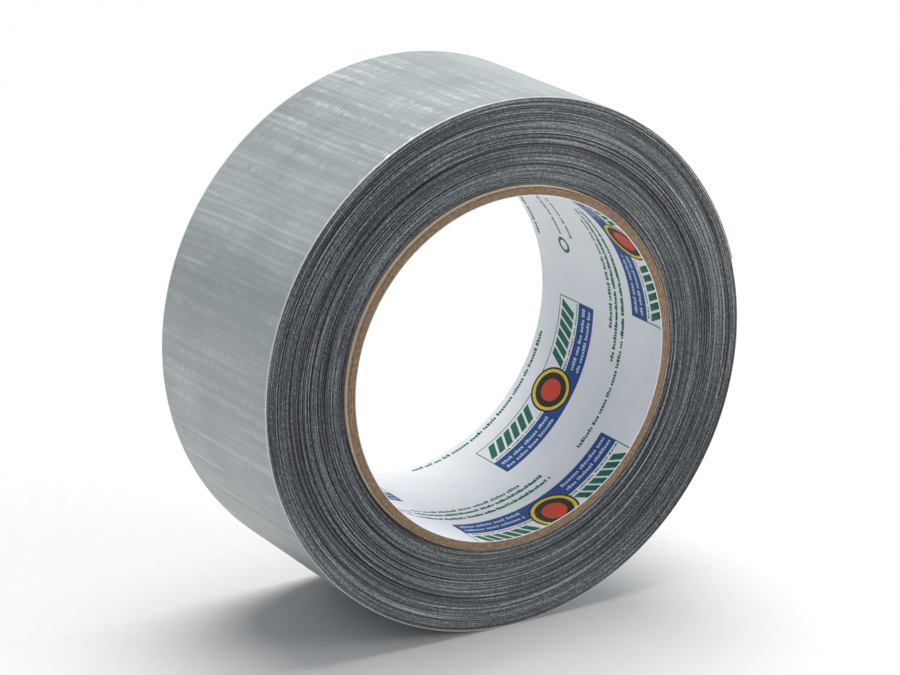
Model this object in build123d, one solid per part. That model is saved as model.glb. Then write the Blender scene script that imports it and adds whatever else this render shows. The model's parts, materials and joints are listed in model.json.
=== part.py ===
"""Roll of cloth-backed duct tape on a spiral-wound paper core, standing on its round surface.

Frame: the origin is the centre of the core's bore, +Y runs along the roll's axis from the
front side to the back, +Z is up. Every face is a plane or a cylinder whose axis is parallel to Y.
"""
from build123d import *
import os

# Paper core: a printed liner, then kraft plies glued one over another (mm)
core_bore_radius = 38.5  # slips over a 76.2 mm (3 in) dispenser hub
liner_thickness = 0.15
ply_thickness = 0.49
ply_count = 4
core_front_overhang = 0.7  # the core stands out past the tape's front edge
core_back_overhang = 0.2  # and by less at the back

# Tape: a plastic film over a cotton scrim, with adhesive underneath
tape_width = 47.8  # 1.88 in
film_thickness = 0.08
scrim_thickness = 0.06
adhesive_thickness = 0.095
wound_turns = 79  # turns under the outermost one

# Free end of the tape: it leaves the roll at the root angle and runs clockwise, seen from the front
lead_root_angle = 55.0  # degrees from +X towards +Z
lead_segment_angle = 8.0
lead_segment_count = 5
lead_clearance = 0.05  # air under the free end

# Sizes that follow from those above
core_length = core_front_overhang + tape_width + core_back_overhang
core_back = core_length / 2
tape_back = core_back - core_back_overhang
core_radius = core_bore_radius + liner_thickness + ply_count * ply_thickness
tape_thickness = adhesive_thickness + scrim_thickness + film_thickness
wound_radius = core_radius + wound_turns * tape_thickness
turn_climb = tape_thickness + lead_clearance
half_climb = turn_climb / 2
lead_radius = wound_radius + turn_climb
tape_layers = {
    "adhesive": (0.0, adhesive_thickness),
    "scrim": (adhesive_thickness, adhesive_thickness + scrim_thickness),
    "film": (adhesive_thickness + scrim_thickness, tape_thickness),
}


def stand_on_edge(section, back, length):
    """Give a flat section its length along Y, from its back end towards the front."""
    solid = extrude(section, amount=length, dir=(0, 0, 1))
    plane = Plane(origin=(0, back, 0), x_dir=(1, 0, 0), z_dir=(0, -1, 0))
    return plane.location * Rot(0, 0, lead_root_angle) * solid


def core_tube(inner_radius, thickness):
    """One layer of the core: a thin tube the length of the core."""
    ring = Circle(inner_radius + thickness) - Circle(inner_radius)
    return stand_on_edge(ring, core_back, core_length)


def last_turn_arcs(radius):
    """One clockwise turn that starts at the radius and climbs by turn_climb.

    It is two half circles. The second is centred half the climb further out, so they meet smoothly.
    """
    lower = CenterArc((0, 0), radius, 0, -180)
    upper = CenterArc((half_climb, 0), radius + half_climb, 180, -180)
    return [lower, upper]


def wound_tape():
    """All the turns under the outermost one, stuck together into one ring.

    Its outside follows the spiral, so it has a step where the outermost turn begins.
    """
    step = Line((wound_radius + turn_climb, 0), (wound_radius, 0))
    outline = Face(Wire(last_turn_arcs(wound_radius) + [step]))
    return stand_on_edge(outline - Circle(core_radius), tape_back, tape_width)


def outer_turn_layer(inside, outside):
    """One layer of the outermost turn, between two heights above the turn beneath."""
    inner = wound_radius + inside
    outer = wound_radius + outside
    start = Line((inner, 0), (outer, 0))
    end = Line((inner + turn_climb, 0), (outer + turn_climb, 0))
    edges = last_turn_arcs(inner) + [end] + last_turn_arcs(outer)[::-1] + [start]
    return stand_on_edge(Face(Wire(edges)), tape_back, tape_width)


def lead_segment_layer(number, inside, outside):
    """One layer of one stretch of the free end, counted from 1 at its root."""
    start = -lead_segment_angle * (number - 1)
    inner = CenterArc((0, 0), lead_radius + inside, start, -lead_segment_angle)
    outer = CenterArc((0, 0), lead_radius + outside, start, -lead_segment_angle)
    ends = [Line(inner @ 0, outer @ 0), Line(inner @ 1, outer @ 1)]
    return stand_on_edge(Face(Wire([inner, ends[1], outer, ends[0]])), tape_back, tape_width)


os.makedirs("parts", exist_ok=True)

export_step(core_tube(core_bore_radius, liner_thickness), "parts/core_liner.step")
for ply in range(ply_count):
    ply_inner = core_bore_radius + liner_thickness + ply * ply_thickness
    export_step(core_tube(ply_inner, ply_thickness), f"parts/core_ply_{ply + 1}.step")

export_step(wound_tape(), "parts/wound_tape.step")
for layer, (inside, outside) in tape_layers.items():
    export_step(outer_turn_layer(inside, outside), f"parts/outer_turn_{layer}.step")
    for number in range(1, lead_segment_count + 1):
        segment = lead_segment_layer(number, inside, outside)
        export_step(segment, f"parts/lead_{number}_{layer}.step")
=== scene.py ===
"""Roll of silver cloth tape on a printed paper core, put together from the core outwards.

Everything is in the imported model's frame. Shapes are worked out in millimetres and stored in metres.
"""

import json
import math

import bmesh
import bpy
import mathutils
import numpy as np
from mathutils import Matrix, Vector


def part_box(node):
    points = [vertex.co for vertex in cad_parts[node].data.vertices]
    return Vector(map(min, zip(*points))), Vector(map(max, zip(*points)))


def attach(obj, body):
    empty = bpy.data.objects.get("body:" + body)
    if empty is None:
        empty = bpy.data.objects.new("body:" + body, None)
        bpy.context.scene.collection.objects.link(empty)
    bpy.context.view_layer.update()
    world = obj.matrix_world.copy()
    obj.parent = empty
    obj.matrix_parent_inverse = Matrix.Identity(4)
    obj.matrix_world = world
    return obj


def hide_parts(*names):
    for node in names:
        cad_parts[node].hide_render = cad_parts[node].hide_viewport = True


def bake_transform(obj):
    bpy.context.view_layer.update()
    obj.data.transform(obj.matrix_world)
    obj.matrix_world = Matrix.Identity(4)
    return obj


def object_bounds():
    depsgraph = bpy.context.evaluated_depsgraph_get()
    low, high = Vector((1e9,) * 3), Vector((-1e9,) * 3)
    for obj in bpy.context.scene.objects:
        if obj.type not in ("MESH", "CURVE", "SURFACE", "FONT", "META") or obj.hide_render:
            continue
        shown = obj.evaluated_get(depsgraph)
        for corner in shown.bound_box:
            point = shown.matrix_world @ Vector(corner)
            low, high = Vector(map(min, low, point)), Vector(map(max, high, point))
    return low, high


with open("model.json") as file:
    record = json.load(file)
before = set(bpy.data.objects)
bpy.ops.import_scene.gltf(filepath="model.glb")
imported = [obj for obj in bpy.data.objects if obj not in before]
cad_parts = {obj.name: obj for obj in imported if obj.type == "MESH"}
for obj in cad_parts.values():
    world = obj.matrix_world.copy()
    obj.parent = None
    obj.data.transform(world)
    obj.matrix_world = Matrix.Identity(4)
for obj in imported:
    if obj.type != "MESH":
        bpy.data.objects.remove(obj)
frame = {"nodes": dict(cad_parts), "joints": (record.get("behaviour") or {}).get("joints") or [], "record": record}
cad_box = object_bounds()


# ---- Core liner --------------------------------------------------------------------------------
# The innermost layer of the core is a strip of smooth white paper, 0.15 mm thick, wound in a helix
# and glued under the board plies. Its printed side faces the bore. It is cut off with the core.
MM = 0.001
bore_radius = next(m for m in frame["record"]["mounts"] if m["name"] == "core_bore")["dims"]["r_mm"]
liner_low, liner_high = (np.array(corner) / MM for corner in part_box("core_liner"))
liner_radius = liner_high[0]
core_front, core_back = liner_low[1], liner_high[1]
tube_columns = 288  # steps round each tube of the core


def around(radius, angle, across):
    """Points about the roll's axis, by radius, angle and place across the width: (r cos a, y, r sin a)."""
    radius, angle, across = np.broadcast_arrays(radius, angle, across)
    return np.stack([radius * np.cos(angle), across, radius * np.sin(angle)], axis=-1)


def grid_quads(rows, columns, wrap_rows=False, wrap_columns=False):
    """The four corners of every cell of a grid whose points are numbered row by row."""
    row = np.arange(rows if wrap_rows else rows - 1)[:, None]
    column = np.arange(columns if wrap_columns else columns - 1)[None, :]
    next_row, next_column = (row + 1) % rows, (column + 1) % columns
    corners = [row * columns + column, next_row * columns + column]
    corners += [next_row * columns + next_column, row * columns + next_column]
    return np.stack([np.broadcast_to(c, (row.size, column.size)) for c in corners], axis=-1).reshape(-1, 4)


def make_piece(name, points, faces, material, sharp_angle=40):
    """A mesh object from points in millimetres. Faces with a negative signed volume are turned round."""
    points = np.asarray(points).reshape(-1, 3)
    mesh = bpy.data.meshes.new(name)
    mesh.from_pydata(points * MM, [], [list(map(int, face)) for face in faces])
    mesh.calc_loop_triangles()
    corners = np.empty(len(mesh.loop_triangles) * 3, np.int32)
    mesh.loop_triangles.foreach_get("vertices", corners)
    a, b, c = (points[corners.reshape(-1, 3)[:, k]] for k in range(3))
    if np.einsum("ij,ij->", a, np.cross(b, c)) < 0:
        mesh.flip_normals()
    mesh.shade_smooth()
    mesh.set_sharp_from_angle(angle=math.radians(sharp_angle))
    mesh.materials.append(material)
    piece = bpy.data.objects.new(name, mesh)
    bpy.context.scene.collection.objects.link(piece)
    return piece


def node(material, kind, inputs=(), **properties):
    """One shader node. Each input is a number, a colour or another node's output."""
    made = material.node_tree.nodes.new(kind)
    for name, value in properties.items():
        setattr(made, name, value)
    for socket, value in dict(inputs).items():
        if isinstance(value, bpy.types.NodeSocket):
            material.node_tree.links.new(value, made.inputs[socket])
        else:
            made.inputs[socket].default_value = value
    return made


def make_material(name, **sockets):
    """A material with one shader, and the numbers that are the same all over its surface."""
    material = bpy.data.materials.new(name)
    material.use_nodes = True
    shader = material.node_tree.nodes["Principled BSDF"]
    for socket, value in sockets.items():
        shader.inputs[socket.replace("_", " ")].default_value = value
    return material


def connect(material, socket, output):
    """Feed an output into one of the shader's sockets."""
    shader = material.node_tree.nodes["Principled BSDF"]
    material.node_tree.links.new(output, shader.inputs[socket])


def place(material, scale=(1, 1, 1)):
    """The object's own coordinates in millimetres, times a scale for each axis."""
    coordinates = node(material, "ShaderNodeTexCoord")
    scaled = [axis / MM for axis in scale]
    return node(material, "ShaderNodeVectorMath", {0: coordinates.outputs["Object"], 1: scaled},
                operation="MULTIPLY").outputs[0]


def noise(material, vector, scale, detail=3.0, roughness=0.5):
    """Seeded by place alone: a noise between 0 and 1."""
    return node(material, "ShaderNodeTexNoise", {"Vector": vector, "Scale": scale, "Detail": detail,
                                                 "Roughness": roughness}).outputs["Fac"]


def ramp(material, value, *stops):
    """Colours between stops, each a place from 0 to 1 and a colour."""
    made = node(material, "ShaderNodeValToRGB", {"Fac": value})
    elements = made.color_ramp.elements
    while len(elements) < len(stops):
        elements.new(0.5)
    for element, (position, colour) in zip(elements, stops):
        element.position = position
        element.color = (*colour, 1.0)
    return made.outputs["Color"]


def bump(material, height, strength, distance_mm):
    """Feed a height into the shader's normal."""
    made = node(material, "ShaderNodeBump",
                {"Height": height, "Strength": strength, "Distance": distance_mm * MM})
    connect(material, "Normal", made.outputs["Normal"])


def tube(name, inner, outer, front, back, columns, corner, material, waviness=None):
    """A tube whose section is a rectangle with rounded corners, carried round the axis.

    The section runs along the inner wall, round each corner in a quarter circle, and back along the
    outer wall. Waviness adds a length to each end that varies with the angle.
    """
    quarter = np.radians(np.linspace(0, 90, 4))
    steps = np.linspace(0, 1, 9)[1:-1]
    radii, places, ends = [], [], []
    corners = ((inner, 1, front, 0), (outer, -1, front, 1), (outer, -1, back, 0), (inner, 1, back, 1))
    for radius, sign, side, turn in corners:
        facing = 1 if side == front else -1
        bend = quarter if turn == 0 else quarter[::-1]
        radii += list(radius + sign * corner * (1 - np.cos(bend)))
        places += list(side + facing * corner * (1 - np.sin(bend)))
        ends += [-facing] * len(bend)
        if radius == outer and side == front:
            radii += [outer] * len(steps)
            places += list(front + corner + steps * (back - front - 2 * corner))
            ends += [0] * len(steps)
    radii += [inner] * len(steps)
    places += list(back - corner - steps * (back - front - 2 * corner))
    ends += [0] * len(steps)
    angle = np.linspace(-np.pi, np.pi, columns, endpoint=False)[:, None]
    across = np.array(places)[None, :] + 0 * angle
    if waviness is not None:
        across = across + np.array(ends)[None, :] * waviness(angle)
    points = around(np.array(radii)[None, :] + 0 * angle, angle + 0 * across, across)
    faces = grid_quads(columns, len(radii), wrap_rows=True, wrap_columns=True)
    return make_piece(name, points, faces, material)


paper = make_material("liner_paper", Roughness=0.42, IOR=1.45)
fibres = noise(paper, place(paper), 3.0, 4.0)
clouds = noise(paper, place(paper), 0.11, 2.0)
tint = ramp(paper, clouds, (0.3, (0.685, 0.712, 0.748)), (0.7, (0.735, 0.757, 0.785)))
connect(paper, "Base Color", tint)
bump(paper, fibres, 0.25, 0.01)

liner = tube("core_liner_paper", bore_radius, liner_radius, core_front, core_back, tube_columns, 0.02,
             paper)
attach(liner, "roll")
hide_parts("core_liner")


# ---- Print on the liner ------------------------------------------------------------------------
# Six inks are printed on the paper before it is wound: blue bands with pale dashes, green bars, lines
# and outlines, and round spots in red and yellow on a dark ground. They are plain shapes that say
# nothing.
ink_step = 0.012  # each ink lies this far above the one before
panel_spread = math.radians(106.7)  # from one panel to the next in the same row
panel_width = math.radians(65.3)
band_width = 6.0  # the blue band of a panel, across the bore
panel_depth = 13.6  # the whole panel, across the bore
line_width = 0.25
bar_angle = 0.045  # each slanted green bar, in radians round the bore
print_margin = 0.06  # the print stops this far short of the cut ends


def ink_patch(angle, across, layer):
    """A thin closed sheet on the bore, from a grid of angles and a grid of places across the width."""
    inside = bore_radius - ink_step * layer
    top = around(inside, angle, across)
    bottom = around(inside + 0.6 * ink_step, angle, across)
    rows, columns = angle.shape
    count = rows * columns
    quads = grid_quads(rows, columns)
    rim = np.concatenate([np.arange(columns), columns * np.arange(1, rows) + columns - 1,
                          count - 2 - np.arange(columns - 1), columns * np.arange(rows - 2, 0, -1)])
    walls = np.stack([rim, np.roll(rim, -1), np.roll(rim, -1) + count, rim + count], axis=-1)
    points = np.concatenate([top.reshape(-1, 3), bottom.reshape(-1, 3)])
    return points, np.concatenate([quads, quads[:, ::-1] + count, walls[:, ::-1]])


def ink_bar(start, end, low, high, layer, slant=0.0):
    """A bar round the bore from one angle to another, and across it from low to high, leaning by slant."""
    cells = max(2, int(math.degrees(abs(end - start)) / 1.2) + 1)
    share, height = np.meshgrid(np.linspace(0, 1, cells), np.linspace(0, 1, 2), indexing="ij")
    angle = start + share * (end - start) + slant * (height - 0.5)
    return ink_patch(angle, low + height * (high - low), layer)


def ink_ring(angle, middle, inner, outer, layer, tall=1.0):
    """A flat ring on the bore, or a disc where inner is 0. Its own radius and angle are the grid."""
    turns, reaches = np.linspace(0, 2 * np.pi, 49), np.linspace(max(inner, 0.01), outer, 4)
    turn, reach = np.meshgrid(turns, reaches, indexing="ij")
    return ink_patch(angle + reach * np.cos(turn) / bore_radius, middle + tall * reach * np.sin(turn), layer)


def ink_lines(dice, start, end, low, high, layer):
    """A line of small blocks in groups, as a line of small print looks from a distance."""
    blocks, reached, left = [], start, dice.integers(3, 9)
    while reached < end:
        length = dice.uniform(0.38, 0.72) / bore_radius
        top = low + (high - low) * dice.choice([0.72, 0.72, 1.0])
        blocks.append(ink_bar(reached, reached + length, low, top, layer))
        left -= 1
        reached += length + (0.16 if left else 0.62) / bore_radius
        left = left or dice.integers(3, 9)
    return blocks


def print_panel(dice, inks, start, near, facing):
    """One panel: a blue band with two lines of pale dashes, an outlined strip of slanted green bars
    beside it, and a round spot over the middle. Facing is 1 or -1, the way the panel grows."""
    def across(low, high):
        return sorted((near + facing * low, near + facing * high))

    end, middle = start + panel_width, start + 0.505 * panel_width
    inks["blue"].append(ink_bar(start, end, *across(0, band_width), 1))
    for low in (1.2, 3.4):
        for left, right in ((start + 0.03, middle - 0.16), (middle + 0.16, end - 0.03)):
            inks["white"] += ink_lines(dice, left, right, *across(low, low + 1.1), 2)
    inks["green"].append(ink_bar(start, end, *across(panel_depth, panel_depth + line_width), 1))
    for edge in (start, end - line_width / bore_radius):
        far_edge = edge + line_width / bore_radius
        inks["green"].append(ink_bar(edge, far_edge, *across(band_width, panel_depth), 1))
    inks["green"] += ink_lines(dice, start + 0.03, end - 0.03, *across(6.5, 7.0), 1)
    for left, right in ((start + 0.05, middle - 0.17), (middle + 0.17, end - 0.05)):
        for at in np.linspace(left, right - bar_angle, 6):
            inks["green"].append(ink_bar(at, at + bar_angle, *across(7.8, 12.8), 1, slant=0.06 * facing))
    spot = near + facing * 7.8
    inks["dark"].append(ink_ring(middle, spot, 0, 5.4, 3, tall=1.3))
    inks["yellow"].append(ink_ring(middle, spot, 4.2, 4.95, 4, tall=1.3))
    inks["red"].append(ink_ring(middle, spot, 0, 2.7, 4, tall=1.3))


# The back row has a panel at each of these angles. The front row's panels are spread evenly, and each
# has lines of small print beside it: how far back each lies, and its start and end in degrees from the
# panel's start.
back_row_angles = (-172.4, -65.7, 72.0)
small_print = ((14.8, -8, 43), (17.4, -8, 41), (19.6, -8, 34), (14.8, 57, 146), (17.4, 88, 146),
               (46.1, 16, 86))
inks = {"blue": [], "green": [], "white": [], "dark": [], "yellow": [], "red": []}
dice = np.random.default_rng(5)
for start in back_row_angles:
    print_panel(dice, inks, math.radians(start), core_front + 27.2, 1)
for turn in (-1, 0, 1):
    start = math.radians(-102.6) + turn * panel_spread
    print_panel(dice, inks, start, core_front + 11.5, -1)
    for low, left, right in small_print:
        inks["green"] += ink_lines(dice, start + math.radians(left), start + math.radians(right),
                                   core_front + low, core_front + low + 1.15, 1)
ring = math.radians(19.8)
inks["green"].append(ink_ring(ring, core_front + 36.2, 1.3, 2.1, 1))
for low in (31.0, 35.6):
    low_edge = core_front + low
    inks["green"] += ink_lines(dice, ring + 0.08, ring + 0.4, low_edge, low_edge + 1.1, 1)

ink_colours = {"blue": (0.012, 0.058, 0.23), "green": (0.008, 0.125, 0.075), "white": (0.42, 0.52, 0.66),
               "dark": (0.014, 0.017, 0.012), "yellow": (0.68, 0.50, 0.035), "red": (0.55, 0.050, 0.025)}


def trim(piece, across, facing):
    """Cut a piece off square at a place across the width, and close the cut."""
    shell = bmesh.new()
    shell.from_mesh(piece.data)
    everything = shell.verts[:] + shell.edges[:] + shell.faces[:]
    bmesh.ops.bisect_plane(shell, geom=everything, dist=1e-8, plane_co=(0, across * MM, 0),
                           plane_no=(0, facing, 0), clear_outer=True)
    bmesh.ops.holes_fill(shell, edges=[edge for edge in shell.edges if edge.is_boundary], sides=0)
    shell.to_mesh(piece.data)
    shell.free()


for ink, patches in inks.items():
    printed = make_material(f"ink_{ink}", Roughness=0.55, IOR=1.45, Specular_IOR_Level=0.2)
    strong = ink_colours[ink]
    worn_ink_and_crest_light = tuple(0.96 * part + 0.04 * 0.8 for part in strong)
    mottle = noise(printed, place(printed), 1.6, 4.0)
    connect(printed, "Base Color", ramp(printed, mottle, (0.35, strong), (0.75, worn_ink_and_crest_light)))
    first = np.cumsum([0] + [len(patch) for patch, _ in patches])
    points = np.concatenate([patch for patch, _ in patches])
    faces = np.concatenate([quads + before for (_, quads), before in zip(patches, first)])
    layer = make_piece(f"liner_print_{ink}", points, faces, printed)
    trim(layer, core_front + print_margin, -1)
    trim(layer, core_back - print_margin, 1)
    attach(layer, "roll")


# ---- Core plies --------------------------------------------------------------------------------
# Four strips of unbleached board, about half a millimetre thick, are wound over the liner in
# helices and glued to each other. A saw cuts the tube to length and leaves its ends a little rough.
def drift(seed, along, cell):
    """A smooth random line: seeded heights, one every cell, joined by curves level at each height."""
    along = np.asarray(along, float) / cell
    first = np.floor(along).astype(int)
    share = along - first
    share = share * share * (3 - 2 * share)
    heights = np.random.default_rng(seed).standard_normal(int(first.max() - min(first.min(), 0)) + 2)
    return heights[first] * (1 - share) + heights[first + 1] * share


def level(material, value, low, high, to_low=0.0, to_high=1.0):
    """A value mapped from one range to another, and held at its ends."""
    return node(material, "ShaderNodeMapRange", {"Value": value, "From Min": low, "From Max": high,
                                                 "To Min": to_low, "To Max": to_high}).outputs["Result"]


core_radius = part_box("core_ply_4")[1].x / MM
board = make_material("kraft_board", Roughness=0.86, IOR=1.4)
spot = place(board)
parts = node(board, "ShaderNodeSeparateXYZ", {0: spot})
reach = node(board, "ShaderNodeVectorMath", {0: node(board, "ShaderNodeCombineXYZ", {
    "X": parts.outputs["X"], "Z": parts.outputs["Z"]}).outputs[0]}, operation="LENGTH").outputs["Value"]
pulp = noise(board, place(board, (1, 0.35, 1)), 1.3, 5.0, 0.6)
grain = noise(board, node(board, "ShaderNodeCombineXYZ", {
    "X": node(board, "ShaderNodeMath", {0: parts.outputs["X"], 1: 0.8}, operation="MULTIPLY").outputs[0],
    "Y": node(board, "ShaderNodeMath", {0: parts.outputs["Z"], 1: 0.8}, operation="MULTIPLY").outputs[0],
    "Z": node(board, "ShaderNodeMath", {0: reach, 1: 14.0}, operation="MULTIPLY").outputs[0],
}).outputs[0], 1.0, 3.0, 0.6)
blend_of = node(board, "ShaderNodeMath", {0: pulp, 1: grain}, operation="ADD").outputs[0]
brown = ramp(board, level(board, blend_of, 0.6, 1.4), (0.0, (0.082, 0.053, 0.030)),
             (0.45, (0.175, 0.116, 0.068)), (1.0, (0.33, 0.24, 0.158)))
skin = level(board, reach, core_radius - 0.07, core_radius - 0.02)
tan = ramp(board, pulp, (0.3, (0.80, 0.62, 0.45)), (0.7, (0.93, 0.77, 0.59)))
connect(board, "Base Color", node(board, "ShaderNodeMix", {"Factor": skin, "A": brown, "B": tan},
                                  data_type="RGBA").outputs["Result"])
bump(board, blend_of, 0.5, 0.05)

plies = sorted(name for name in frame["nodes"] if name.startswith("core_ply"))
ply_inner = liner_radius
glue_gap = 0.012  # half of the line that shows between two plies
for number, name in enumerate(plies):
    ply_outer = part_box(name)[1].x / MM

    def rough_cut(angle, seed=40 + number):
        """How far the cut wanders at an angle: a random line, read along a path that closes on itself."""
        return 0.03 * drift(seed, 30 + np.cos(angle) * 9 + np.sin(angle) * 6, 1.0)

    corner = 0.20 if name == plies[-1] else 0.07
    ply = tube(f"{name}_board", ply_inner + glue_gap, ply_outer - glue_gap, core_front + 0.03,
               core_back - 0.03, tube_columns, corner, board, rough_cut)
    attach(ply, "roll")
    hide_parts(name)
    ply_inner = ply_outer


# ---- Wound tape --------------------------------------------------------------------------------
# The tape is one strip, wound tight and stuck to itself. What shows is its slit edge, turn beside
# turn. The turns wander a little sideways, some sit deeper than the rest, and cut yarn ends show.
hinges = [np.array(joint["pos_m"]) / MM for joint in frame["joints"]]
root_angle = math.atan2(hinges[0][2], hinges[0][0])
segment_angle = root_angle - math.atan2(hinges[1][2], hinges[1][0])
lead_outside = math.hypot(hinges[0][0], hinges[0][2])
adhesive_thickness, scrim_thickness, film_thickness = 0.095, 0.06, 0.08
tape_thickness = adhesive_thickness + scrim_thickness + film_thickness
lead_clearance = 0.05
turn_climb = tape_thickness + lead_clearance
lead_radius = lead_outside - tape_thickness
wound_radius = lead_radius - turn_climb
wound_turns = round((wound_radius - core_radius) / tape_thickness)
tape_front, tape_back = (corner.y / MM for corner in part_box("wound_tape"))


def edge_depth(turn, shift):
    """How far in from the roll's side the tape's edge lies, by how many turns along the strip: a slow
    drift over several turns, a quicker one within a turn, and a few turns that have slipped deeper.

    The first turn lies deepest, where the tape was started on the core. The shift gives each side its
    own stretch of the random lines.
    """
    drawn = turn + shift
    slow = 0.022 * drift(11, drawn, 2.7) + 0.065 * drift(12, drawn, 0.37)
    quick = 0.045 * drift(13, drawn, 0.13) + 0.014 * drift(14, drawn, 0.03)
    slipped = np.clip(0.65 * (drift(15, drawn, 0.42) - 1.15), 0, 0.4)
    slipped = slipped + np.clip(0.55 * (drift(16, drawn, 0.21) - 1.4), 0, 0.3)
    first_turn = 0.35 * np.exp(-np.clip(turn, 0, None) / 0.8)
    return 0.13 + np.clip(slow + quick, -0.13, 0.25) + slipped + first_turn


def wound_side(name, edge, inwards, shift, material):
    """Half the width of the wound tape, with its slit edges on one side.

    A row of the grid follows the strip round one turn, and the next turn's rows carry on from it, so
    the end of a row is the start of the row that lies one turn further out. Each turn has four rows:
    the groove between two turns, and three across the edge itself.
    """
    columns, shares, rises = 300, np.array([0.0, 0.2, 0.5, 0.8]), np.array([0.0, 0.018, 0.0, 0.018])
    per_turn = len(shares)
    rows = wound_turns * per_turn + 1
    turn, step = np.divmod(np.arange(rows), per_turn)
    way = np.linspace(0, 1, columns + 1)[None, :]
    strip = turn[:, None] + way
    radius = core_radius + (strip + shares[step][:, None]) * tape_thickness
    depth = edge_depth(strip, shift)
    groove = 0.14 + np.maximum(depth, edge_depth(np.maximum(strip - 1, 0), shift))
    depth = np.where(step[:, None] == 0, groove, depth + rises[step][:, None])
    depth[0], depth[-1] = depth[1], depth[-2]
    surface = around(radius, root_angle - 2 * np.pi * way, edge + inwards * depth)
    number = np.arange(rows * (columns + 1)).reshape(rows, columns + 1)
    number[:-per_turn, -1] = number[per_turn:, 0]
    cell_corners = (number[:-1, :-1], number[1:, :-1], number[1:, 1:], number[:-1, 1:])
    cells = np.stack(cell_corners, axis=-1).reshape(-1, 4)
    inner = np.concatenate([number[0, :-1], number[per_turn:0:-1, 0]])
    outer = np.concatenate([number[-1], number[-2:-1 - per_turn:-1, -1]])
    points = surface.reshape(-1, 3)
    middle = (tape_front + tape_back) / 2
    inner_floor, outer_floor = points[inner].copy(), points[outer].copy()
    inner_floor[:, 1] = outer_floor[:, 1] = middle
    first = len(points)
    inner_number, outer_number = first + np.arange(len(inner)), first + len(inner) + np.arange(len(outer))

    def wall(top, bottom):
        return np.stack([top, np.roll(top, -1), np.roll(bottom, -1), bottom], axis=-1)

    faces = np.concatenate([cells, wall(outer, outer_number)[:, ::-1], wall(inner, inner_number),
                            wall(outer_number, inner_number)[:, ::-1]])
    used, packed = np.unique(faces, return_inverse=True)
    everything = np.concatenate([points, inner_floor, outer_floor])
    piece = make_piece(name, everything[used], packed.reshape(-1, 4), material, sharp_angle=180)
    # The depth of each point in from the roll's side. The slit edges' colour is darkened by it as painted shade in
    # the grooves and deeper turns.
    sunk = np.concatenate([depth.ravel(), np.full(len(inner) + len(outer), 0.3)])[used]
    piece.data.attributes.new("sunk", "FLOAT", "POINT").data.foreach_set("value", sunk.astype(np.float32))
    return piece


slit = make_material("slit_edges", Roughness=0.58, IOR=1.45)
parts = node(slit, "ShaderNodeSeparateXYZ", {0: place(slit)})
flat = node(slit, "ShaderNodeCombineXYZ", {"X": parts.outputs["X"], "Z": parts.outputs["Z"]}).outputs[0]
reach = node(slit, "ShaderNodeVectorMath", {0: flat}, operation="LENGTH").outputs["Value"]


def ringed(material, flat, reach, along, out, detail=2.0):
    """A noise whose spots are long round the roll and short outwards: the third axis is the radius."""
    deep = node(material, "ShaderNodeMath", {0: reach, 1: out}, operation="MULTIPLY").outputs[0]
    wide = node(material, "ShaderNodeVectorMath", {0: flat, 1: (along, 1.0, along)},
                operation="MULTIPLY").outputs[0]
    both = node(material, "ShaderNodeSeparateXYZ", {0: wide})
    vector = node(material, "ShaderNodeCombineXYZ",
                  {"X": both.outputs["X"], "Y": both.outputs["Z"], "Z": deep}).outputs[0]
    return noise(material, vector, 1.0, detail, 0.6)


bands = ringed(slit, flat, reach, 0.012, 3.6, 3.0)
streaks = ringed(slit, flat, reach, 0.045, 6.0, 2.0)
fuzz = ringed(slit, flat, reach, 2.0, 4.4, 4.0)
sum_of = node(slit, "ShaderNodeMath", {0: bands, 1: streaks}, operation="ADD").outputs[0]
sum_of = node(slit, "ShaderNodeMath", {0: sum_of, 1: fuzz}, operation="ADD").outputs[0]
base = ramp(slit, level(slit, sum_of, 1.24, 1.78), (0.0, (0.007, 0.009, 0.012)),
            (0.34, (0.034, 0.040, 0.047)), (0.62, (0.092, 0.103, 0.114)), (1.0, (0.31, 0.325, 0.34)))
# Painted shade: the colour is darkened where the edge lies deeper, in the grooves between turns and on slipped
# turns, and lightened on the highest edges as painted light.
sunk = node(slit, "ShaderNodeAttribute", attribute_name="sunk").outputs["Fac"]
shade = ramp(slit, level(slit, sunk, 0.0, 0.6), (0.0, (1.30, 1.30, 1.30)), (0.30, (0.95, 0.95, 0.95)),
             (0.62, (0.46, 0.46, 0.46)), (1.0, (0.16, 0.16, 0.16)))
shaded = node(slit, "ShaderNodeVectorMath", {0: base, 1: shade}, operation="MULTIPLY").outputs[0]
connect(slit, "Base Color", shaded)
bump(slit, fuzz, 0.45, 0.06)

sides = (("wound_tape_front", tape_front, 1, 0), ("wound_tape_back", tape_back, -1, 90))
for name, edge, inwards, shift in sides:
    side = wound_side(name, edge, inwards, shift, slit)
    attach(side, "roll")
    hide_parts("wound_tape")


# ---- Outermost turn ----------------------------------------------------------------------------
# The tape itself: polythene film filled with aluminium powder, over a loose cotton scrim, with
# rubber adhesive underneath. Pressed together, the film takes the print of the yarns below it.
warp_count = 43  # yarns that run along the strip
width = tape_back - tape_front
warp_pitch = width / warp_count
weft_pitch = 3.5
crease_spread = 7.5  # from one crease to the next along the strip


def wander(seed, along, over, along_cell, over_cell):
    """A smooth random surface: seeded heights on a lattice, joined by curves level at each height."""
    along, over = np.asarray(along, float) / along_cell, np.asarray(over, float) / over_cell
    along, over = np.broadcast_arrays(along, over)
    i, j = np.floor(along).astype(int), np.floor(over).astype(int)
    s, t = along - i, over - j
    s, t = s * s * (3 - 2 * s), t * t * (3 - 2 * t)
    heights = np.random.default_rng(seed).standard_normal((i.max() + 2, j.max() + 2))
    near = heights[i, j] * (1 - s) + heights[i + 1, j] * s
    far = heights[i, j + 1] * (1 - s) + heights[i + 1, j + 1] * s
    return near * (1 - t) + far * t


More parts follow.
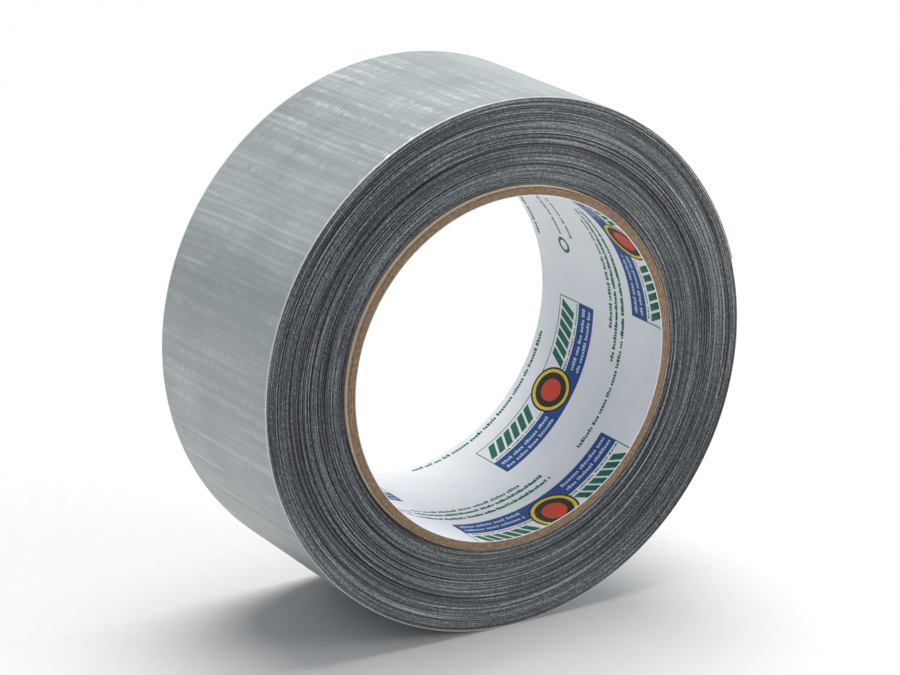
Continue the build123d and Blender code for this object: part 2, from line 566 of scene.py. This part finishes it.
def scrim(along, across):
    """The scrim's yarns, by the length along the strip and the place across it.

    Returns how near a warp yarn is and how near a weft yarn is, from 0 to 1 as bell curves, with the
    distance to that weft and its number. Both wander a little, and the wefts lean.
    """
    over = across - tape_front
    sideways = over / warp_pitch - 0.5 + 0.10 * wander(21, along, over, 6.0, 5.0)
    warp = np.exp(-((sideways - np.round(sideways)) * warp_pitch / 0.21) ** 2)
    bent = along + 0.16 * wander(22, along, over, 25.0, 12.0) + 0.035 * over
    number = np.clip(np.round(bent / weft_pitch).astype(int), 0, None)
    shift = 0.35 * np.random.default_rng(23).standard_normal(number.max() + 2)
    away = bent - number * weft_pitch - shift[number]
    return warp, np.exp(-(away / 0.42) ** 2), away, number


def weave(along, across):
    """How far the yarns lift the film.

    Each warp yarn is a narrow ridge, high halfway between two wefts and low where a weft holds it
    down. Each weft is a low ridge, and here and there a crease from the winding stands higher.
    """
    over = across - tape_front
    warp, weft, away, number = scrim(along, across)
    weight = 0.4 + 0.9 * np.random.default_rng(24).random(number.max() + 2) ** 2
    between = np.clip(np.abs(away) / (0.5 * weft_pitch), 0, 1) ** 1.5
    patch = np.clip(0.78 + 0.25 * wander(25, along, over, 30.0, 14.0), 0.3, 1.3)
    gaps = np.clip(0.78 + 0.38 * wander(26, along, over, 1.3, warp_pitch), 0, 1.5)
    length = along / crease_spread + 0.025 * wander(27, along, over, 15.0, 9.0) + 0.007 * over
    crease_number = np.clip(np.round(length).astype(int), 0, None)
    crease = np.exp(-((length - np.round(length)) * crease_spread / 0.36) ** 2)
    crease_weight = np.random.default_rng(28).random(crease_number.max() + 2) ** 3
    faded = np.clip(0.5 + 0.7 * wander(29, along, over, 9.0, 10.0), 0, 1)
    yarn_lift = 0.092 * patch * gaps * warp * between + 0.034 * weight[number] * weft
    crease_lift = 0.042 * crease * crease_weight[crease_number] * faded
    swell = 0.006 * wander(30, along, over, 14.0, 9.0)
    ripple = 0.009 * wander(31, along + 0.05 * over, over, 1.7, 19.0)
    return yarn_lift + crease_lift + swell + ripple


def strip_points(height, turned, across):
    """Points on the strip, by the height over its underside, the angle from its root and the place across.

    The path is half a turn about the roll's axis, half a turn about a point half the climb towards
    the root, and then an arc about the axis again at the radius reached.
    """
    second, third = (turned > np.pi) & (turned <= 2 * np.pi), turned > 2 * np.pi
    radius = wound_radius + height + turn_climb * (0.5 * second + 1.0 * third)
    points = around(radius, root_angle - turned, across)
    aside = np.array([math.cos(root_angle), 0, math.sin(root_angle)]) * turn_climb / 2
    return points + np.where(second, 1.0, 0.0)[..., None] * aside


def layer_of_tape(name, turned, across, rough_height, plain_height, material, sharp_angle=50):
    """A closed layer of the strip: a fine grid where the weave shows, and a wide cell on its other side.

    The UV map holds the length along the strip and the place across it, in centimetres.
    """
    turned, across = np.broadcast_arrays(turned, across)
    rows, columns = turned.shape
    fine = strip_points(rough_height, turned, across)
    plain = strip_points(plain_height + 0 * turned[:, [0, -1]], turned[:, [0, -1]], across[:, [0, -1]])
    number = np.arange(rows * columns).reshape(rows, columns)
    other = rows * columns + np.arange(rows * 2).reshape(rows, 2)
    faces = [list(face) for face in grid_quads(rows, columns)]
    for a, b, c, d in ((other[:-1, 0], other[:-1, 1], other[1:, 1], other[1:, 0]),
                       (number[:-1, 0], other[:-1, 0], other[1:, 0], number[1:, 0]),
                       (number[1:, -1], other[1:, -1], other[:-1, -1], number[:-1, -1])):
        faces += np.stack([a, b, c, d], axis=-1).tolist()
    faces.append([*number[0], other[0, 1], other[0, 0]])
    faces.append([*number[-1, ::-1], other[-1, 0], other[-1, 1]])
    points = np.concatenate([fine.reshape(-1, 3), plain.reshape(-1, 3)])
    piece = make_piece(name, points, faces, material, sharp_angle)
    flat = np.stack([turned * lead_outside, across], axis=-1)
    flat = np.concatenate([flat.reshape(-1, 2), flat[:, [0, -1]].reshape(-1, 2)]) / 10
    corners = np.empty(len(piece.data.loops), np.int32)
    piece.data.loops.foreach_get("vertex_index", corners)
    piece.data.uv_layers.new(name="strip").data.foreach_set("uv", flat[corners].ravel())
    lift = np.concatenate([(rough_height - rough_height.mean()).ravel(), np.zeros(rows * 2)])
    piece.data.attributes.new("lift", "FLOAT", "POINT").data.foreach_set("value", lift.astype(np.float32))
    return piece


def strip_place(material, scale=(1, 1, 1)):
    """The piece's own UV map, in millimetres, times a scale for each axis."""
    flat = node(material, "ShaderNodeUVMap", uv_map="strip")
    scaled = [10 * axis for axis in scale]
    return node(material, "ShaderNodeVectorMath", {0: flat.outputs[0], 1: scaled},
                operation="MULTIPLY").outputs[0]


def made_film(name, strength):
    """Silver film: powder specks, cloudy tone, streaks along the strip, a painted highlight on the weave's crests
    with painted shade in its hollows, and a painted highlight along both edges.
    """
    film = make_material(name, Metallic=0.45, IOR=1.5)
    cloud = noise(film, strip_place(film, (0.05, 0.09, 1)), 1.0, 3.0)
    streak = noise(film, strip_place(film, (0.12, 2.2, 1)), 1.0, 2.0)
    speck = noise(film, strip_place(film, (3.2, 3.2, 1)), 1.0, 3.0)
    tone = node(film, "ShaderNodeMath", {0: cloud, 1: streak}, operation="ADD").outputs[0]
    tone = node(film, "ShaderNodeMath", {0: tone, 1: speck}, operation="ADD").outputs[0]
    base = ramp(film, level(film, tone, 1.1, 1.9), (0.0, (0.338, 0.374, 0.386)),
                (0.5, (0.374, 0.411, 0.423)), (1.0, (0.411, 0.445, 0.454)))
    # Painted highlight and shade: the colour is lightened where the weave lifts the film and darkened where it
    # lies low.
    lift = node(film, "ShaderNodeAttribute", attribute_name="lift").outputs["Fac"]
    worn_ink_and_crest_light = level(film, lift, -0.02, 0.08)
    lighter = ramp(film, worn_ink_and_crest_light, (0.0, (0.85, 0.86, 0.87)), (0.28, (1.0, 1.0, 1.0)),
                   (0.9, (1.55, 1.53, 1.51)))
    toned = node(film, "ShaderNodeVectorMath", {0: base, 1: lighter}, operation="MULTIPLY").outputs[0]
    # Painted highlight: within 0.4 mm of each edge the film is mixed towards pale grey, as the rounded edge would
    # look where it catches the light.
    across = node(film, "ShaderNodeSeparateXYZ", {0: strip_place(film)}).outputs["Y"]
    middle = 0.5 * (tape_front + tape_back)
    aside = node(film, "ShaderNodeMath", {0: across, 1: middle}, operation="SUBTRACT")
    aside = node(film, "ShaderNodeMath", {0: aside.outputs[0]}, operation="ABSOLUTE").outputs[0]
    painted_edge_highlight = level(film, aside, 0.5 * width - 0.40, 0.5 * width - 0.10, 0.0, 0.75)
    silver = node(film, "ShaderNodeMix", {"Factor": painted_edge_highlight, "A": toned, "B": (0.74, 0.76, 0.77, 1)},
                  data_type="RGBA")
    connect(film, "Base Color", silver.outputs["Result"])
    connect(film, "Roughness", level(film, tone, 1.1, 1.9, 0.37, 0.48))
    small = noise(film, strip_place(film, (1.1, 2.6, 1)), 1.0, 4.0, 0.6)
    grit = node(film, "ShaderNodeMath", {0: small, 1: speck}, operation="ADD").outputs[0]
    bump(film, grit, strength, 0.03)
    return film


silver_film = made_film("silver_film", 0.6)
columns_across = 5 * warp_count + 1
arc_rows = 446  # rows of the grid along each of the film's three arcs
across_strip = np.linspace(tape_front, tape_back, columns_across)[None, :]
seams = (0.0, root_angle + math.pi / 2, root_angle + math.pi * 1.08, 2 * math.pi)


def film_relief(turned, across):
    """The film's outer face over the strip's underside: full height, less a rounded edge, plus the weave.

    Under the free end, which presses on it, the weave is lower.
    """
    edge = np.minimum(across - tape_front, tape_back - across)
    rounded = 0.035 * np.exp(-(edge / 0.12) ** 2)
    lift = weave(turned * lead_outside, across) * (1 - np.exp(-(edge / 0.35) ** 2))
    covered = (turned < len(hinges) * segment_angle + 0.02) & (turned >= 0)
    lift = lift * np.where(covered, 0.4, 1.0)
    return tape_thickness - 0.045 - rounded + lift


for number, (first, last) in enumerate(zip(seams, seams[1:])):
    turned = np.linspace(first, last, arc_rows)[:, None]
    relief = film_relief(turned, across_strip)
    film = layer_of_tape(f"outer_film_{number + 1}", turned, across_strip, relief,
                         tape_thickness - film_thickness, silver_film)
    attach(film, "roll")
    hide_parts("outer_turn_film")


def made_adhesive(name):
    """Grey rubber adhesive: soft, a little shiny, with a clotted tone, lighter over the scrim's yarns."""
    adhesive = make_material(name, Roughness=0.36, IOR=1.48)
    clot = noise(adhesive, place(adhesive), 0.9, 4.0, 0.6)
    grey = ramp(adhesive, clot, (0.3, (0.19, 0.195, 0.19)), (0.7, (0.27, 0.275, 0.265)))
    lift = node(adhesive, "ShaderNodeAttribute", attribute_name="lift").outputs["Fac"]
    showing = ramp(adhesive, level(adhesive, lift, -0.055, 0.01), (0.0, (2.1, 2.1, 2.05)),
                   (1.0, (1.0, 1.0, 1.0)))
    toned = node(adhesive, "ShaderNodeVectorMath", {0: grey, 1: showing}, operation="MULTIPLY").outputs[0]
    connect(adhesive, "Base Color", toned)
    bump(adhesive, clot, 0.4, 0.06)
    return adhesive


def made_yarn(name):
    """Undyed cotton yarn: fine twisted fibres and a fluffy tone."""
    yarn = make_material(name, Roughness=0.9, Sheen_Weight=0.4)
    fluff = noise(yarn, place(yarn, (2.0, 0.7, 2.0)), 2.4, 5.0, 0.65)
    connect(yarn, "Base Color", ramp(yarn, fluff, (0.3, (0.36, 0.36, 0.34)), (0.7, (0.66, 0.66, 0.62))))
    bump(yarn, fluff, 0.6, 0.04)
    return yarn


adhesive_rubber, cotton_yarn = made_adhesive("adhesive_rubber"), made_yarn("cotton_yarn")
for name, finish in (("outer_turn_adhesive", adhesive_rubber), ("outer_turn_scrim", cotton_yarn)):
    for holder in frame["nodes"][name].material_slots:
        holder.material = finish


# ---- Free end ----------------------------------------------------------------------------------
# The last few centimetres lie lightly on the roll, ready to be lifted. They're cut here at the
# hinges of the five stiff pieces of the model, and the pieces join in one smooth curve.
def wavy_cut(across):
    """How far the torn end runs past its line, as an angle: it follows the yarns in small steps."""
    over = across - tape_front
    return (0.25 * drift(51, over, 3.0) + 0.12 * drift(52, over, warp_pitch)) / lead_outside


def yarns(name, first, last, ends, material):
    """The scrim between two angles: flat ribbons along the strip, and others across it, each a closed box.

    A ribbon's section is a flat six-sided oval. It's carried along a line of points by its own width
    and thickness, and its two ends are closed by single faces.
    """
    outline = np.array([(-1, 0), (-0.5, 1), (0.5, 1), (1, 0), (0.5, -1), (-0.5, -1)])
    low = adhesive_thickness + 0.5 * scrim_thickness
    points, faces, count = [], [], 0

    def carry(turned, across, wide, thick, along):
        nonlocal count
        steps = turned.size
        side = outline[:, 0][None, :] * wide[:, None]
        rise = low + outline[:, 1][None, :] * thick
        if along:
            ring = strip_points(rise + 0 * side, turned[:, None] + 0 * side, across[:, None] + side)
        else:
            ring = strip_points(rise + 0 * side, turned[:, None] + side / lead_outside,
                                across[:, None] + 0 * side)
        points.append(ring.reshape(-1, 3))
        body = grid_quads(steps, 6, wrap_columns=True) + count
        faces.extend(body.tolist())
        faces.append((count + np.arange(6)).tolist())
        faces.append((count + steps * 6 - 1 - np.arange(6)).tolist())
        count += steps * 6

    roll_dice = np.random.default_rng(int(round(first * 1000)))
    steps = np.linspace(0, 1, 9)
    for number in range(warp_count):
        middle = tape_front + (number + 0.5) * warp_pitch
        out = roll_dice.uniform(0.0, 1.1) / lead_outside if ends else 0.0
        turned = first + steps * (last + out - first)
        wide = 0.17 + 0.02 * roll_dice.standard_normal(steps.size)
        across = middle + 0.03 * roll_dice.standard_normal(steps.size)
        carry(turned, across, wide, 0.45 * scrim_thickness, True)
    reached = weft_pitch * math.ceil(first * lead_outside / weft_pitch)
    share = np.linspace(0.006, 0.994, 45)
    while reached < last * lead_outside - 0.4:
        wobble = 0.02 * roll_dice.standard_normal(share.size)
        wide = 0.15 + 0.015 * roll_dice.standard_normal(share.size)
        turned = (reached + wobble) / lead_outside
        carry(turned, tape_front + share * width, wide, 0.3 * scrim_thickness, False)
        reached += weft_pitch
    return make_piece(name, np.concatenate(points), faces, material)


bodies = ["roll"] + [joint["child"] for joint in frame["joints"]]
tip_turned = 2 * math.pi + len(frame["joints"]) * segment_angle
tip = strip_points(np.array(tape_thickness), np.array(tip_turned), np.array(0.0))
stops = hinges + [tip]
stretch_rows = 22  # rows of the grid along each stretch
for k in range(len(frame["joints"])):
    first, last = 2 * math.pi + k * segment_angle, 2 * math.pi + (k + 1) * segment_angle
    is_tip = k == len(frame["joints"]) - 1
    share = np.linspace(0, 1, stretch_rows)[:, None]
    turned = first + share * (last - first + (wavy_cut(across_strip) if is_tip else 0))
    body = bodies[k + 1]
    relief = film_relief(turned, across_strip)
    top = layer_of_tape(f"{body}_film_piece", turned, across_strip, relief,
                        tape_thickness - film_thickness, silver_film)
    warp, weft, _, _ = scrim(turned * lead_outside, across_strip)
    gauze = 0.025 - 0.06 * np.maximum(warp, weft)
    sticky = layer_of_tape(f"{body}_adhesive_piece", turned, across_strip, gauze, adhesive_thickness,
                           adhesive_rubber)
    mesh = yarns(f"{body}_scrim_piece", first, last, is_tip, cotton_yarn)
    for piece, layer, finish in ((top, "film", "tape_film"), (sticky, "adhesive", "tape_adhesive"),
                                 (mesh, "scrim", "tape_scrim")):
        start, end = (tuple(np.array(stop) * MM) for stop in (stops[k], stops[k + 1]))
        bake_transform(piece)
        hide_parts(f"{body}_{layer}")


# ---- Floor, light and camera -------------------------------------------------------------------
# The roll stands on a pale board. A wide soft light comes from above and a little behind, a small
# lamp from the right in front, and two weak ones from behind, whose shine shows on the film.
floor_height = cad_box[0][2]
board_top = make_material("pale_board", Roughness=0.75)
grain = noise(board_top, place(board_top), 0.4, 3.0)
pale = ramp(board_top, grain, (0.3, (0.64, 0.64, 0.64)), (0.7, (0.66, 0.66, 0.66)))
connect(board_top, "Base Color", pale)
floor_mesh = bpy.data.meshes.new("floor")
reach = 4.0  # metres from the roll to each side of the board
floor_mesh.from_pydata([(-reach, -reach, floor_height), (reach, -reach, floor_height),
                        (reach, reach, floor_height), (-reach, reach, floor_height)], [], [(0, 1, 2, 3)])
floor_mesh.materials.append(board_top)
floor = bpy.data.objects.new("floor", floor_mesh)
bpy.context.scene.collection.objects.link(floor)


def aim(thing, place, target=(0, 0, 0)):
    """Put a lamp or the camera at a place, with its own -Z towards a target and its top up."""
    away = mathutils.Vector(place) - mathutils.Vector(target)
    facing = away.to_track_quat("Z", "Y").to_matrix().to_4x4()
    thing.matrix_world = mathutils.Matrix.Translation(place) @ facing


def lamp(name, place, size, power):
    """A soft rectangular lamp that faces the roll."""
    data = bpy.data.lights.new(name, "AREA")
    data.shape = "RECTANGLE"
    data.size, data.size_y = size
    data.energy = power
    thing = bpy.data.objects.new(name, data)
    bpy.context.scene.collection.objects.link(thing)
    aim(thing, place)


sky_data = bpy.data.lights.new("lamp_above", "SUN")
sky_data.energy = 3.5
sky_data.color = (1.0, 0.98, 0.95)
sky_data.angle = math.radians(54)
sky_lamp = bpy.data.objects.new("lamp_above", sky_data)
bpy.context.scene.collection.objects.link(sky_lamp)
aim(sky_lamp, (0.30, 0.33, 1.3))
lamp("lamp_right", (0.55, -0.36, 0.03), (0.22, 0.16), 3.9)
lamp("lamp_behind", (-0.75, 1.2, 0.65), (0.9, 0.7), 1.6)
lamp("lamp_low_behind", (0.80, 1.12, 0.20), (0.7, 0.3), 0.5)

world = bpy.data.worlds.new("studio")
world.use_nodes = True
world.node_tree.nodes["Background"].inputs["Color"].default_value = (0.90, 0.94, 1.0, 1)
world.node_tree.nodes["Background"].inputs["Strength"].default_value = 0.41
bpy.context.scene.world = world
bpy.context.scene.view_settings.view_transform = "Standard"

camera_data = bpy.data.cameras.new("camera")
camera_data.lens = 133.98
camera_data.sensor_width = 36.0
camera_data.clip_start = 0.01
camera_data.clip_end = 30.0
camera = bpy.data.objects.new("camera", camera_data)
bpy.context.scene.collection.objects.link(camera)
camera_place = mathutils.Vector((-0.360211, -0.597390, 0.233764))
aim(camera, camera_place, camera_place + mathutils.Vector((0.488686, 0.812785, -0.317121)))
bpy.context.scene.camera = camera
